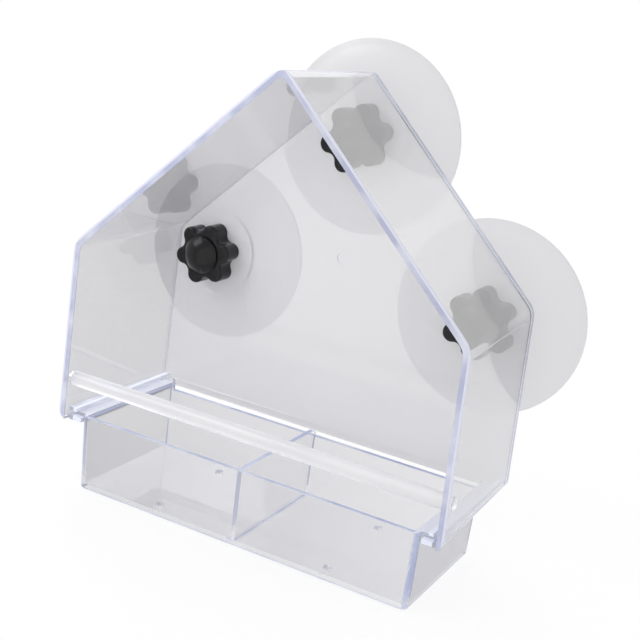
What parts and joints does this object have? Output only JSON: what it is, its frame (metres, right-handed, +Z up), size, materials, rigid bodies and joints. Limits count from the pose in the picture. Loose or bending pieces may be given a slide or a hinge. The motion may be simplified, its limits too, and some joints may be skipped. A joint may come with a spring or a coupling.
{
  "type": "window bird feeder",
  "caption": "Clear gabled window feeder with a sliding seed tray, a perch bar and suction cups held by lobed knobs.",
  "frame": {"origin": "on the surface that the tray stands on, in the middle of the feeder's width and of its whole depth", "axes": "+Z up, +Y towards the window that the cups hold on to, +X to the right for someone facing the feeder's front"},
  "size_m": [0.218, 0.083, 0.2071],
  "materials": {
    "clear_shell": "clear polished moulding",
    "clear_bar": "clear polished rod",
    "clear_tray": "clear polished moulding",
    "soft_cup": "smooth translucent soft plastic",
    "black_knob": "glossy black moulding",
    "plated_stud": "bright plated steel",
    "brass_insert": "turned"
  },
  "bodies": {
    "house": {"house_shell": "clear_shell", "perch_bar": "clear_bar", "suction_cup_left": "soft_cup", "suction_cup_right": "soft_cup", "suction_cup_top": "soft_cup", "cup_stud_left": "plated_stud", "cup_stud_right": "plated_stud", "cup_stud_top": "plated_stud"},
    "tray": {"seed_tray": "clear_tray"},
    "knob_left_body": {"knob_left": "black_knob", "knob_insert_left": "brass_insert"},
    "knob_right_body": {"knob_right": "black_knob", "knob_insert_right": "brass_insert"},
    "knob_top_body": {"knob_top": "black_knob", "knob_insert_top": "brass_insert"}
  },
  "joints": [
    {"name": "tray_slide", "type": "slide", "parent": "house", "child": "tray", "axis": [0, -1, 0], "range_m": [0, 0.062]},
    {"name": "knob_left_turn", "type": "hinge", "parent": "house", "child": "knob_left_body", "pos_m": [-0.067, 0.0255, 0.1006], "axis": [0, -1, 0], "continuous": true},
    {"name": "knob_right_turn", "type": "hinge", "parent": "house", "child": "knob_right_body", "pos_m": [0.067, 0.0255, 0.1006], "axis": [0, -1, 0], "continuous": true},
    {"name": "knob_top_turn", "type": "hinge", "parent": "house", "child": "knob_top_body", "pos_m": [0, 0.0255, 0.1651], "axis": [0, -1, 0], "continuous": true}
  ]
}
